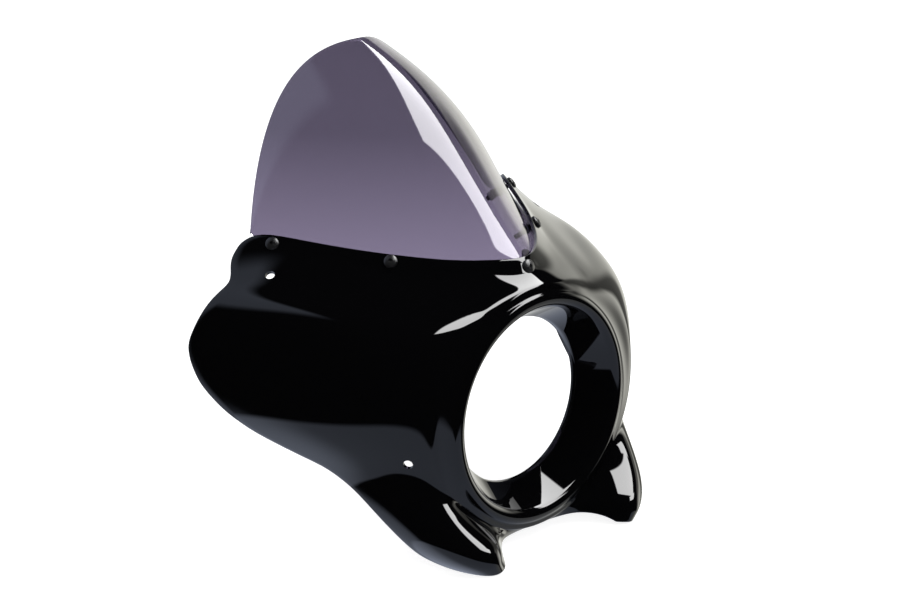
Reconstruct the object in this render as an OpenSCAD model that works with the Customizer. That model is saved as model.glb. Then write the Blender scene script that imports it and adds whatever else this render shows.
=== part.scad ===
// Headlight cowl: a moulded shell around a round headlight, with a smoked windscreen
// tucked behind its upper edge and held by five button-head screws.
// Origin: middle of the short land at the back of the collar that takes the headlight.
// +X is to the right seen from the front, +Y points back along the bike, +Z is up.

/* [Headlight opening] */
// Inside radius of the land that takes the headlight
bore_r = 81.5; // [70:0.5:90]
// Length of that land along the headlight axis
bore_land = 6; // [4:0.5:12]
// Radius of the opening at the front rim
rim_r = 100; // [94:0.5:108]
// Depth of the collar from the front of the lip to its back end
collar_depth = 42; // [34:1:60]
// Radius of the rounded lip
lip_r = 9; // [6:0.5:12]

/* [Shell] */
// Wall of the moulded shell
wall = 4; // [3:0.5:5]
// Height of the neck's upper edge at the nose
neck_top_z = 142; // [138:1:148]
// Distance of the neck's nose behind the lip
nose_y = 30; // [24:1:36]
// Spread of the neck's sides in plan: depth gained per unit of half width
neck_spread = 0.76; // [0.7:0.01:0.82]
// Added bend of those sides
neck_bend = 0.0032; // [0.0028:0.0001:0.0036]
// Roundness of the nose in plan
nose_round = 18; // [14:1:24]
// Rise of the neck's upper edge from the nose to its rear corner
neck_rise = 15; // [10:1:20]
// Lean of the neck's upper band and of the screen, from level
rake = 38; // [34:1:42]
// How much steeper the nose stands below its edge
nose_steep = 28; // [20:1:34]
// Half width of the neck's upper edge at its rear corner
neck_half_w = 156; // [150:1:162]
// Half width of the shell at its rear edge
flank_half_w = 225; // [216:1:236]
// Height of the valley between neck and flank at the rear
crease_z = 117; // [112:1:122]

/* [Fins] */
// Distance of a fin's tip from the middle plane
fin_tip_x = 86; // [82:1:92]
// Distance of a fin's tip in front of the lip
fin_tip_y = 34; // [26:1:42]
// Depth of a fin's tip below the headlight axis
fin_tip_z = 132; // [126:1:138]

/* [Screen] */
// Thickness of the screen
screen_t = 3; // [2:0.5:4]
// Clearance between neck and screen
screen_gap = 0.6; // [0.4:0.1:1.2]
// Height of the screen's top above the headlight axis
screen_top_z = 320; // [290:1:350]
// Half width of the screen at its foot
screen_half_w = 165; // [158:1:170]
// How far the screen's middle swells out of the straight lean
screen_crown = 18; // [0:0.5:22]
// How far the screen reaches down behind the neck's upper edge
screen_lap = 22; // [18:1:28]

/* [Fixings] */
// Diameter of the screws
screw_d = 5; // [4:0.5:6]
// Diameter of the screws' domed heads
head_d = 13; // [10:0.5:14]
// Height of the heads
head_h = 4; // [2.5:0.1:5]
// Height of a screw's centre below the neck's upper edge
screw_drop = 7.5; // [7:0.5:11]
// Clearance between a screw and its hole, all round
hole_gap = 0.3; // [0.2:0.1:0.5]
// Diameter of the four bracket holes
bracket_hole_d = 9; // [7:0.5:10]

/* [Hidden] */

// Everything is drawn from the centre of the lip's front plane and set back to the origin.
module from_lip() {
    translate([0, bore_land / 2 - collar_depth, 0]) children();
}

// The lip: centre and outer end of its rounding.
lip_c = rim_r + lip_r * 0.82;
lip_out = lip_c + lip_r * cos(45);
lip_out_y = lip_r * (1 - sin(45));

// The neck's upper band leans back along straight lines over a plan curve with a round nose.
function plan(x) = nose_y + neck_spread * (sqrt(x * x + nose_round * nose_round) - nose_round)
    + neck_bend * x * x;
function edge_z(x) = neck_top_z + neck_rise * pow(x / neck_half_w, 2);
// Below the edge the nose stands steeper than the lean of the sides and of the screen.
function slack(up) = -3 * ln(1 + exp(-up / 3));
function steep(x) = rake + nose_steep * exp(-pow(x / 45, 2));
function lean(x, up) = up / tan(rake) + (1 / tan(steep(x)) - 1 / tan(rake)) * slack(up);
function neck(x, up) = [x, plan(x) + lean(x, up) - lean(x, 0), edge_z(x) + up];
function unit(v) = v / norm(v);
// Least depth of the skin's inner face inside that sheet.
skin_sink = 1.75;
function neck_normal(x, up) = let (d = 0.01)
    unit(cross(neck(x + d, up) - neck(x - d, up), neck(x, up + d) - neck(x, up - d)));
// The same point moved out of the sheet.
function proud(x, up, out) = neck(x, up) + neck_normal(x, up) * out;

// Stations of the shell from the top centre round the right side to the bottom centre.
// Each gives the angle on the lip, the slope and length with which the skin leaves it,
// three shaping points and the point beyond the trimmed edge.
nw = neck_half_w;
fw = flank_half_w;
cz = crease_z;
// Depth of the neck's rear corner.
rear = plan(nw);
stations = [
    [90, 45, 6, [0, 11, 121], [0, 20, 128], proud(0, -5, 4.4), proud(0, 14, 4.4)],
    [80, 45, 7, [18, 14, 120.5], [20, 25, 127.5], proud(0.14 * nw, -5, 1.4), proud(0.155 * nw, 14, 1.4)],
    [73, 45, 8, [34, 20, 119], [42, 37, 126], proud(0.31 * nw, -5, 0.6), proud(0.333 * nw, 16, 0.6)],
    [67, 45, 10, [54, 34, 118], [66, 60, 127], proud(0.5 * nw, -5, 0.3), proud(0.54 * nw, 18, 0.3)],
    [62, 45, 11, [68, 40, 116], [84, 80, 128], proud(0.69 * nw, -5, 0.4), proud(0.745 * nw, 20, 0.4)],
    [58, 45, 12, [80, 44, 114], [104, 104, 128], proud(0.87 * nw, -5, -0.4), proud(0.975 * nw, 20, -3)],
    [54, 42, 14, [92, 38, 110], [118, 90, 120], [nw + 4, rear - 36, 132], [nw + 32, rear + 22, 140]],
    [49, 36, 16, [101, 31, 104], [128, 74, 108], [nw + 22, rear - 60, cz - 1], [fw - 14, rear + 22, cz]],
    [42, 30, 18, [112, 26, 98], [144, 70, 106], [fw - 29, rear - 66, 112], [fw + 4, rear + 24, cz - 14]],
    [33, 26, 20, [124, 19, 84], [164, 60, 90], [fw - 19, rear - 72, 94], [fw + 12, rear + 26, 82]],
    [20, 24, 21, [132, 15, 52], [170, 52, 58], [fw - 13, rear - 78, 62], [fw + 14, rear + 28, 56]],
    [7, 26, 20, [132, 14, 16], [166, 48, 20], [fw - 17, rear - 84, 26], [fw + 10, rear + 26, 26]],
    [-6, 28, 20, [130, 15, -14], [159, 48, -10], [fw - 29, rear - 96, -6], [fw - 4, rear + 8, -6]],
    [-17, 32, 18, [124, 14, -38], [148, 44, -33], [fw - 49, rear - 114, -29], [fw - 30, rear - 34, -36]],
    [-26, 40, 16, [117, 12, -55], [139, 25, -50], [157, 76, -50], [166, 138, -62]],
    [-34, 44, 12, [106, 12, -69], [131, 2, -69], [150, 37, -81], [141, 92, -100]],
    [-42, 40, 10, [88, 15, -79], [118, -19, -91], [141, 1, -106], [118, 58, -136]],
    [-48, 25, 9, [79, 17, -88], [101, -30, -103], [123, -24, -120], [100, 20, -142]],
    [-53, 20, 8, [70, 18, -94], [87, -33, -112], [fin_tip_x + 8, -4 - fin_tip_y, -124],
     [fin_tip_x, -6 - fin_tip_y, -144]],
    [-59, 25, 8, [62, 14, -102], [72, -8, -111], [76, -16, -118], [77, -20, -124]],
    [-68, 40, 6, [50, 9, -108], [51, 11, -113], [51, 12, -117], [51, 13, -120]],
    [-90, 45, 5, [0, 8, -117], [0, 12, -119], [0, 16, -121], [0, 20, -122]]
];
half = len(stations) - 1;
ring = 2 * half;

// Outline to which the skin is trimmed, seen from the side, as depth and height.
trim = [
    [-90, neck_top_z], [nose_y, neck_top_z], [rear - 145, neck_top_z],
    [rear - 100, neck_top_z + 4], [rear - 48, neck_top_z + 9.5], [rear - 4, neck_top_z + neck_rise],
    [rear + 10, neck_top_z + neck_rise - 1], [rear + 17, neck_top_z + neck_rise - 8],
    [rear + 15, neck_top_z - 7], [rear + 2, cz + 3], [rear + 2, cz - 3], [rear + 12, 88], [rear + 21, 64],
    [rear + 19, 47], [rear + 11, 25], [rear - 9, 2], [rear - 34, -15], [rear - 74, -32], [rear - 99, -42],
    [90, -62], [67, -86], [41, -112], [30, -120], [0, 4 - fin_tip_z], [6 - fin_tip_y, 1 - fin_tip_z],
    [-fin_tip_y, 1 - fin_tip_z], [-fin_tip_y - 8, 4 - fin_tip_z], [-fin_tip_y - 14, -90], [-90, -60]
];

function flip(p, s) = [p[0] * s, p[1], p[2]];
function station(i) = let (k = (i + 2 * ring) % ring) k <= half ? stations[k] : stations[ring - k];
function side(i) = let (k = (i + 2 * ring) % ring) k <= half ? 1 : -1;
function lip_angle(i) =
    let (k = (i + 2 * ring) % ring, turns = floor(i / ring))
    (k <= half ? stations[k][0] : -180 - stations[ring - k][0]) - 360 * turns;
function blend(t) = [pow(1 - t, 3), 3 * t * t * t - 6 * t * t + 4,
    -3 * t * t * t + 3 * t * t + 3 * t + 1, t * t * t] / 6;

function angle_at(u) = let (i = floor(u), b = blend(u - i))
    b[0] * lip_angle(i - 1) + b[1] * lip_angle(i) + b[2] * lip_angle(i + 1) + b[3] * lip_angle(i + 2);
function value_at(u, c) = let (i = floor(u), b = blend(u - i))
    b[0] * station(i - 1)[c] + b[1] * station(i)[c] + b[2] * station(i + 1)[c] + b[3] * station(i + 2)[c];
function point_at(u, c) = let (i = floor(u), b = blend(u - i))
    b[0] * flip(station(i - 1)[c], side(i - 1)) + b[1] * flip(station(i)[c], side(i))
    + b[2] * flip(station(i + 1)[c], side(i + 1)) + b[3] * flip(station(i + 2)[c], side(i + 2));
function round_axis(a, r, y) = [r * cos(a), y, r * sin(a)];

// The control points across the skin at a place round the loop.
function across(u) =
    let (a = angle_at(u), s = value_at(u, 1), h = value_at(u, 2))
    [round_axis(a, lip_out, lip_out_y), round_axis(a, lip_out + h * cos(s), lip_out_y + h * sin(s)),
     point_at(u, 3), point_at(u, 4), point_at(u, 5), point_at(u, 6)];
function reach(p, i) = i < 0 ? 2 * p[0] - p[1] : i >= len(p) ? 2 * p[len(p) - 1] - p[len(p) - 2] : p[i];
function curve(p, t) =
    let (n = len(p) - 1, i = min(n - 1, floor(t * n)), b = blend(t * n - i))
    b[0] * reach(p, i - 1) + b[1] * p[i] + b[2] * p[i + 1] + b[3] * reach(p, i + 2);

// True where a side view point lies inside the trim outline.
function crossings(y, z, i = 0) = i >= len(trim) ? 0 :
    let (a = trim[i], b = trim[(i + 1) % len(trim)])
    (((a[1] > z) != (b[1] > z)) && (y < (b[0] - a[0]) * (z - a[1]) / (b[1] - a[1]) + a[0]) ? 1 : 0)
    + crossings(y, z, i + 1);
function inside(p) = crossings(p[1], p[2]) % 2 == 1;
function march(p, t) =
    t >= 1 ? 1 : inside(curve(p, t + 0.04)) ? march(p, t + 0.04) : halve(p, t, t + 0.04, 0);
function halve(p, lo, hi, n) = n == 8 ? lo : let (m = (lo + hi) / 2)
    inside(curve(p, m)) ? halve(p, m, hi, n + 1) : halve(p, lo, m, n + 1);
function trimmed(p) = min(1, march(p, 0.32));

// The skin as a grid: rows up the collar, round the lip and out to the edge.
steps = 3;
cols = ring * steps;
lip_steps = 6;
body_steps = 12;
function skin_column(j) =
    let (u = j / steps, a = angle_at(u), p = across(u), end = trimmed(p))
    concat(
        [round_axis(a, bore_r - 0.4, collar_depth), round_axis(a, bore_r - 0.4, collar_depth - bore_land)],
        [for (k = [0:lip_steps]) let (f = 215 + 100 * k / lip_steps)
            round_axis(a, lip_c + lip_r * cos(f), lip_r + lip_r * sin(f))],
        [for (k = [1:body_steps]) curve(p, end * k / body_steps)]);
skin = [for (j = [0:cols - 1]) skin_column(j)];
rows = len(skin[0]);
function normal_at(j, k) =
    let (du = skin[(j + 1) % cols][k] - skin[(j + cols - 1) % cols][k],
         dv = skin[j][min(k + 1, rows - 1)] - skin[j][max(k - 1, 0)])
    unit(cross(du, dv));
// The collar and lip are drawn on their outer face and the rest on its inner face.
function outside(k) = wall * max(0, min(1, (k - lip_steps - 2) / 3));
function outer_point(j, k) = skin[j][k] + outside(k) * normal_at(j, k);
function inner_point(j, k) = skin[j][k] + (outside(k) - wall) * normal_at(j, k);

module shell_skin() {
    outer = [for (j = [0:cols - 1]) for (k = [0:rows - 1]) outer_point(j, k)];
    inner = [for (j = [0:cols - 1]) for (k = [0:rows - 1]) inner_point(j, k)];
    m = cols * rows;
    function at(j, k) = (j % cols) * rows + k;
    faces = [for (j = [0:cols - 1]) each concat(
        [for (k = [0:rows - 2]) each [
            [at(j, k), at(j + 1, k + 1), at(j + 1, k)], [at(j, k), at(j, k + 1), at(j + 1, k + 1)],
            [m + at(j, k), m + at(j + 1, k), m + at(j + 1, k + 1)],
            [m + at(j, k), m + at(j + 1, k + 1), m + at(j, k + 1)]]],
        [[at(j, 0), m + at(j + 1, 0), m + at(j, 0)], [at(j, 0), at(j + 1, 0), m + at(j + 1, 0)],
         [at(j, rows - 1), m + at(j, rows - 1), m + at(j + 1, rows - 1)],
         [at(j, rows - 1), m + at(j + 1, rows - 1), at(j + 1, rows - 1)]]
    )];
    polyhedron(points = concat(outer, inner), faces = faces);
}

// Turns what it holds so that its own Z axis points along n, at p.
module set_along(p, n) {
    translate(p) rotate([0, acos(n[2]), atan2(n[1], n[0])]) children();
}

// Half widths of the screws along the neck's upper edge.
screw_outer_x = min(screen_half_w - 8.5, neck_half_w + 0.5);
screw_inner_x = screw_outer_x * 0.603;
screw_xs = [-screw_outer_x, -screw_inner_x, 0, screw_inner_x, screw_outer_x];
module at_screw(x) {
    set_along(neck(x, -screw_drop), neck_normal(x, -screw_drop)) children();
}
module screw_holes() {
    for (x = screw_xs) at_screw(x)
        translate([0, 0, -30]) cylinder(r = screw_d / 2 + hole_gap, h = 50, $fn = 40);
}
// A flat moulded seat under each head.
head_seat = wall - 0.6;
module head_seats() {
    for (x = screw_xs) at_screw(x)
        translate([0, 0, head_seat]) cylinder(r = head_d / 2 + 0.4, h = 8, $fn = 60);
}

// Bracket holes, each at a station and a share of the way out to the trimmed edge.
bracket_places = [[6.45, 0.89], [12.6, 0.56]];
function skin_at(u, t) = let (p = across(u)) curve(p, trimmed(p) * t);
function skin_normal(u, t) =
    unit(cross(skin_at(u + 0.05, t) - skin_at(u - 0.05, t), skin_at(u, t + 0.02) - skin_at(u, t - 0.02)));
module bracket_holes() {
    for (m = bracket_places) for (s = [1, -1])
        set_along(flip(skin_at(m[0], m[1]), s), flip(skin_normal(m[0], m[1]), s))
            translate([0, 0, -12]) cylinder(d = bracket_hole_d, h = 24, $fn = 48);
}

module cowl_shell() {
    color([0.03, 0.03, 0.035]) from_lip() difference() {
        shell_skin();
        translate([0, collar_depth + 10, 0]) rotate([90, 0, 0])
            cylinder(r = bore_r, h = bore_land + 10, $fn = 96);
        screw_holes();
        head_seats();
        bracket_holes();
    }
}

// The screen: the same leaning sheet, set inside the neck and cut to a rounded arch.
function arch_z(x) = let (w = screen_half_w, foot = edge_z(w))
    foot + (screen_top_z - foot) * (1 - pow(min(1, abs(x) / w), 2));
screen_cols = 60;
screen_depth = skin_sink + screen_gap - 0.6;
// Rows in the lap behind the neck, where the nose bends, and above it.
lap_rows = 5;
screen_rows = lap_rows + 8;
function screen_x(i) =
    let (q = 2 * i / screen_cols - 1) screen_half_w * sin(90 * (0.35 * q + 0.65 * q * q * q));
function screen_point(i, k, depth) =
    let (x = screen_x(i), q = abs(x) / screen_half_w,
         low = -screen_lap * (1 - 0.8 * pow(q, 12)), high = arch_z(x) - edge_z(x),
         bend_top = min(6, 0.3 * high),
         up = k <= lap_rows ? low + (bend_top - low) * k / lap_rows
             : bend_top + (high - bend_top) * (k - lap_rows) / (screen_rows - lap_rows),
         t = max(0, up / max(1, high)),
         crown = screen_crown * sin(180 * pow(min(1, t), 1.5)) * (1 - q * q))
    neck(x, up) - neck_normal(x, up) * (depth - crown);

module windscreen() {
    n = (screen_cols + 1) * (screen_rows + 1);
    front = [for (i = [0:screen_cols]) for (k = [0:screen_rows]) screen_point(i, k, screen_depth)];
    back = [for (i = [0:screen_cols]) for (k = [0:screen_rows]) screen_point(i, k, screen_depth + screen_t)];
    function at(i, k) = i * (screen_rows + 1) + k;
    faces = concat(
        [for (i = [0:screen_cols - 1]) for (k = [0:screen_rows - 1]) each [
            [at(i, k), at(i + 1, k + 1), at(i + 1, k)], [at(i, k), at(i, k + 1), at(i + 1, k + 1)],
            [n + at(i, k), n + at(i + 1, k), n + at(i + 1, k + 1)],
            [n + at(i, k), n + at(i + 1, k + 1), n + at(i, k + 1)]]],
        [for (i = [0:screen_cols - 1]) each [
            [at(i, 0), at(i + 1, 0), n + at(i + 1, 0)], [at(i, 0), n + at(i + 1, 0), n + at(i, 0)],
            [at(i, screen_rows), n + at(i + 1, screen_rows), at(i + 1, screen_rows)],
            [at(i, screen_rows), n + at(i, screen_rows), n + at(i + 1, screen_rows)]]],
        [for (k = [0:screen_rows - 1]) each [
            [at(0, k), n + at(0, k + 1), at(0, k + 1)], [at(0, k), n + at(0, k), n + at(0, k + 1)],
            [at(screen_cols, k), at(screen_cols, k + 1), n + at(screen_cols, k + 1)],
            [at(screen_cols, k), n + at(screen_cols, k + 1), n + at(screen_cols, k)]]]
    );
    color([0.35, 0.32, 0.42, 0.6]) from_lip() difference() {
        polyhedron(points = concat(front, back), faces = faces);
        screw_holes();
    }
}

// Each screw: a domed head outside the neck and a shank through neck, screen, washer and nut.
washer_t = 1.5;
washer_r = screw_d / 2 + 2.6;
nut_t = 4;
nut_flats = 8;
fit_gap = 0.1;
head_foot = head_seat + 0.05;
washer_gap = 0.25;
// The washer's upper face lies just under the lowest point that the screen has over it.
function screen_back(x, up) = neck(x, up) - neck_normal(x, up) * (screen_depth + screen_t);
function washer_top(x) =
    let (up = -screw_drop, c = neck(x, up), n = neck_normal(x, up), r = washer_r * 1.3,
         wide = r / norm(neck(x + 0.5, up) - neck(x - 0.5, up)),
         tall = r / norm(neck(x, up + 0.5) - neck(x, up - 0.5)))
    min([for (a = [0:30:330]) (screen_back(x + wide * cos(a), up + tall * sin(a)) - c) * n])
    - washer_gap;
module screw(x) {
    tip = washer_top(x) - washer_t - nut_t - 2;
    dome_r = (pow(head_d / 2, 2) + pow(head_h - 1, 2)) / (2 * (head_h - 1));
    color([0.05, 0.05, 0.05]) from_lip() at_screw(x) rotate_extrude($fn = 48) difference() {
        union() {
            translate([0, tip]) square([screw_d / 2, head_foot + 1 - tip]);
            translate([0, head_foot]) square([head_d / 2, 1]);
            intersection() {
                translate([0, head_foot + head_h - dome_r]) circle(r = dome_r, $fn = 96);
                translate([0, head_foot + 1]) square([head_d / 2, head_h - 1]);
            }
        }
        translate([0, head_foot + head_h - 1.6]) square([screw_d * 0.3, 3]);
    }
}
module washer(x) {
    color([0.08, 0.08, 0.08]) from_lip() at_screw(x)
        translate([0, 0, washer_top(x) - washer_t]) difference() {
            cylinder(r = washer_r, h = washer_t, $fn = 40);
            translate([0, 0, -1]) cylinder(r = screw_d / 2 + fit_gap, h = washer_t + 2, $fn = 40);
        }
}
module nut(x) {
    color([0.45, 0.45, 0.47]) from_lip() at_screw(x)
        translate([0, 0, washer_top(x) - washer_t - fit_gap - nut_t]) difference() {
            cylinder(d = nut_flats / cos(30), h = nut_t, $fn = 6);
            translate([0, 0, -1]) cylinder(r = screw_d / 2 + fit_gap, h = nut_t + 2, $fn = 40);
        }
}

cowl_shell();
windscreen();
screw(-screw_outer_x);  // screen_screw_left_outer
screw(-screw_inner_x);  // screen_screw_left_inner
screw(0);  // screen_screw_centre
screw(screw_inner_x);  // screen_screw_right_inner
screw(screw_outer_x);  // screen_screw_right_outer
washer(-screw_outer_x);  // screen_washer_left_outer
washer(-screw_inner_x);  // screen_washer_left_inner
washer(0);  // screen_washer_centre
washer(screw_inner_x);  // screen_washer_right_inner
washer(screw_outer_x);  // screen_washer_right_outer
nut(-screw_outer_x);  // screen_nut_left_outer
nut(-screw_inner_x);  // screen_nut_left_inner
nut(0);  // screen_nut_centre
nut(screw_inner_x);  // screen_nut_right_inner
nut(screw_outer_x);  // screen_nut_right_outer
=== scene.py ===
"""Headlight cowl: gloss black moulded shell, smoked windscreen and its fixings, on a pale stage."""

import math

import bmesh
import bpy
import numpy as np
from mathutils import Matrix, Vector


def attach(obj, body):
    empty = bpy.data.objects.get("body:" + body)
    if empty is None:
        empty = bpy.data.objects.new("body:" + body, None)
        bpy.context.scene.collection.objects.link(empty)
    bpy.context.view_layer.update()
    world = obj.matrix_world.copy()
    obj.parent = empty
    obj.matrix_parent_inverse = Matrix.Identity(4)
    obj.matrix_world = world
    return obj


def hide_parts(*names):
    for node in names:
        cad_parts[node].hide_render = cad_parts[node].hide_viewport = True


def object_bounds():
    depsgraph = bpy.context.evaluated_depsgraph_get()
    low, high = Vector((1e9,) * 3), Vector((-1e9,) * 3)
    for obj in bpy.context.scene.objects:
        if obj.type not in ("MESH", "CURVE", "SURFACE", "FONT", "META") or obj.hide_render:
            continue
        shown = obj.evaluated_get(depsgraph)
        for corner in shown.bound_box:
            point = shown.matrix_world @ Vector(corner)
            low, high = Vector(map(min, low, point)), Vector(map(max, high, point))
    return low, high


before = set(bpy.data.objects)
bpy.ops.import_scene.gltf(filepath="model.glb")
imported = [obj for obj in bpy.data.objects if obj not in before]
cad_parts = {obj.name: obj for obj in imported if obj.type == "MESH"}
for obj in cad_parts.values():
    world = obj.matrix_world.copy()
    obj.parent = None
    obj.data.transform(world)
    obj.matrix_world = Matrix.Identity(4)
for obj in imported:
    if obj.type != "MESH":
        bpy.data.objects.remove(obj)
CAD_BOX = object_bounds()

bl_info = {
    "name": "Headlight cowl",
    "version": (1, 0, 0),
    "blender": (4, 5, 0),
    "location": "View3D > Sidebar > Cowl",
    "description": "Builds the moulded cowl, its smoked screen, its fixings and the stage",
    "category": "Object",
}

MM = 0.001
# The lip's front plane lies this far before the origin, in millimetres.
LIP_Y = -39.0


# Sizes and colours


class CowlSizes(bpy.types.PropertyGroup):
    """Sizes of the cowl, in metres"""

    bore_radius: bpy.props.FloatProperty(
        name="Headlight land radius", description="Inside radius of the land at the back of the collar",
        default=0.0815, min=0.07, max=0.09, unit="LENGTH")
    land_length: bpy.props.FloatProperty(
        name="Land length", description="Length of that land", default=0.006, min=0.002, unit="LENGTH")
    rim_radius: bpy.props.FloatProperty(
        name="Rim radius", description="Radius of the opening at the front rim", default=0.1, unit="LENGTH")
    lip_radius: bpy.props.FloatProperty(
        name="Lip radius", description="Radius of the rounded lip", default=0.009, unit="LENGTH")
    collar_depth: bpy.props.FloatProperty(
        name="Collar depth", description="From the lip's front to the collar's back end", default=0.042,
        unit="LENGTH")
    wall: bpy.props.FloatProperty(
        name="Wall", description="Wall of the moulded shell", default=0.004, min=0.002, unit="LENGTH")
    edge_round: bpy.props.FloatProperty(
        name="Edge rounding", description="Radius on the trimmed edge of the shell", default=0.0011,
        unit="LENGTH")
    bracket_hole: bpy.props.FloatProperty(
        name="Bracket hole", description="Diameter of the four bracket holes", default=0.009,
        unit="LENGTH")
    screen_thickness: bpy.props.FloatProperty(
        name="Screen thickness", description="Thickness of the windscreen", default=0.003, unit="LENGTH")
    screen_crown: bpy.props.FloatProperty(
        name="Screen crown", description="How far the middle of the screen swells forward", default=0.018,
        unit="LENGTH")
    head_diameter: bpy.props.FloatProperty(
        name="Screw head", description="Diameter of the button heads", default=0.013, unit="LENGTH")
    head_height: bpy.props.FloatProperty(
        name="Head height", description="Height of the button heads", default=0.004, unit="LENGTH")
    screw_diameter: bpy.props.FloatProperty(
        name="Screw", description="Diameter of the screws", default=0.005, unit="LENGTH")
    socket_flats: bpy.props.FloatProperty(
        name="Socket", description="Width across the flats of the hexagon sockets", default=0.003,
        unit="LENGTH")


class CowlFinish(bpy.types.PropertyGroup):
    """Colours and gloss of the cowl"""

    shell_colour: bpy.props.FloatVectorProperty(
        name="Shell colour", description="Moulded gloss plastic", subtype="COLOR", size=4, min=0, max=1,
        default=(0.002, 0.002, 0.0024, 1))
    shell_roughness: bpy.props.FloatProperty(
        name="Shell roughness", description="Roughness of the polished side", default=0.02, subtype="FACTOR")
    inside_colour: bpy.props.FloatVectorProperty(
        name="Inside colour", description="Unpolished inside of the shell", subtype="COLOR", size=4,
        min=0, max=1, default=(0.012, 0.012, 0.013, 1))
    screen_colour: bpy.props.FloatVectorProperty(
        name="Screen colour", description="Smoked acrylic tint at the foot", subtype="COLOR", size=4,
        min=0, max=1, default=(0.162, 0.138, 0.208, 1))
    screen_top_colour: bpy.props.FloatVectorProperty(
        name="Screen top colour", description="Its tint higher up", subtype="COLOR", size=4, min=0, max=1,
        default=(0.0735, 0.063, 0.097, 1))
    screw_colour: bpy.props.FloatVectorProperty(
        name="Screw colour", description="Blackened steel", subtype="COLOR", size=4, min=0, max=1,
        default=(0.015, 0.015, 0.016, 1))
    rubber_colour: bpy.props.FloatVectorProperty(
        name="Rubber colour", description="Washers", subtype="COLOR", size=4, min=0, max=1,
        default=(0.012, 0.012, 0.012, 1))
    nut_colour: bpy.props.FloatVectorProperty(
        name="Nut colour", description="Zinc plate", subtype="COLOR", size=4, min=0, max=1,
        default=(0.55, 0.56, 0.58, 1))
    floor_colour: bpy.props.FloatVectorProperty(
        name="Floor colour", description="Pale floor", subtype="COLOR", size=4, min=0, max=1,
        default=(0.8, 0.8, 0.8, 1))
    floor_glow: bpy.props.FloatProperty(
        name="Floor glow", description="White that the camera sees on the floor besides the light on it",
        default=0.8)
    room: bpy.props.FloatProperty(
        name="Room light", description="Level of the even light around the object", default=0.55)
    cool: bpy.props.FloatVectorProperty(
        name="Cool side", description="Colour of the walls' light from the left", subtype="COLOR", size=4,
        min=0, max=1, default=(0.72, 0.8, 1.0, 1))
    warm: bpy.props.FloatVectorProperty(
        name="Warm side", description="Colour of the walls' light from the right", subtype="COLOR", size=4,
        min=0, max=1, default=(1.0, 0.99, 0.9, 1))
    backdrop: bpy.props.FloatProperty(
        name="Backdrop", description="Brightness of the backdrop in gloss", default=0.7)
    table: bpy.props.FloatProperty(
        name="Table", description="Brightness of the table in gloss", default=0.62)
    side_panel: bpy.props.FloatProperty(
        name="Side panel", description="Brightness of the panel on the right in gloss", default=3.0)
    softbox: bpy.props.FloatProperty(
        name="Softbox", description="Brightness of the softbox in gloss", default=13.0)


# The moulded surface

# Form of the neck and screen, in millimetres and degrees, from the front plane of the lip.
NECK_TOP, NOSE_Y, SPREAD, BEND, ROUND = 142.0, 30.0, 0.76, 0.0032, 18.0
RISE, RAKE, NOSE_STEEP, NECK_HALF = 15.0, 38.0, 28.0, 156.0
NOSE_WIDTH, NOSE_EASE = 45.0, 3.0
FLANK_HALF, CREASE = 225.0, 117.0
FIN_X, FIN_Y, FIN_Z = 86.0, 34.0, 132.0
SCREEN_TOP, SCREEN_HALF, SCREEN_LAP = 320.0, 165.0, 22.0
# How far the screen's front face lies inside the sheet, and the screws below the neck's edge.
SKIN_SINK, SCREW_DROP = 1.75, 7.5
SCREW_X = (-156.5, -94.37, 0.0, 94.37, 156.5)
# Places of the bracket holes: station round the skin, and share of the way out to the edge.
BRACKET_PLACES = ((6.45, 0.89), (12.6, 0.56))
# The lip's arc in degrees, the steps along it, and the angles drawn on each rounded trimmed edge.
LIP_FROM, LIP_TURN, LIP_STEPS = 215, 100, 22
EDGE_TURNS = (22, 45, 68, 90)
# Rows of points out along the skin, and the share over which its wall comes out of the lip.
SKIN_ROWS, WALL_START = 46, 0.25
# Columns and rows of the screen, and how far its rounded border reaches in from the edge.
SCREEN_GRID, SCREEN_BORDER = (161, 61), 1.0
CUTTER_LENGTH = 0.024
# The collar's section is drawn this far inside its back end and the start of its land.
BACK_SHORT, LAND_SHORT = 0.5, 0.6
# Where the section's rows lie on the way from the land to the lip.
CONE_SHARES = (0.03, 0.08, 0.25, 0.5, 0.75, 0.92, 0.97)
# Search for the trimmed edge: first share of the way out, step, and halvings of the last step.
TRIM_FROM, TRIM_STEP, TRIM_HALVINGS = 0.32, 0.02, 24
# Degrees past which an edge is drawn sharp.
SHELL_SHARP, FIXING_SHARP = 40, 38


def plan(x):
    """Depth of the neck's upper edge, seen from above."""
    return NOSE_Y + SPREAD * (np.sqrt(x * x + ROUND * ROUND) - ROUND) + BEND * x * x


def edge_height(x):
    """Height of that edge, which rises a little to the sides."""
    return NECK_TOP + RISE * (x / NECK_HALF) ** 2


def lean(x, up):
    """How far the sheet leans back at a height above the edge; it stands steeper at the nose."""
    slack = -NOSE_EASE * np.log1p(np.exp(-up / NOSE_EASE))
    steep = np.radians(RAKE + NOSE_STEEP * np.exp(-((x / NOSE_WIDTH) ** 2)))
    flat = 1 / math.tan(math.radians(RAKE))
    return up * flat + (1 / np.tan(steep) - flat) * slack


def neck(x, up):
    """Points of the leaning sheet that the neck and the screen share."""
    x, up = np.broadcast_arrays(np.asarray(x, float), np.asarray(up, float))
    return np.stack([x, plan(x) + lean(x, up) - lean(x, 0 * up), edge_height(x) + up], -1)


def unit(v):
    """Vectors brought to length one."""
    return v / np.linalg.norm(v, axis=-1, keepdims=True)


def neck_normal(x, up):
    """Outward normal of that sheet."""
    d = 0.01
    return unit(np.cross(neck(x + d, up) - neck(x - d, up), neck(x, up + d) - neck(x, up - d)))


def proud(x, up, out):
    """A point of the sheet, moved out along its normal."""
    return list(neck(x, up) + neck_normal(x, up) * out)


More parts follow.
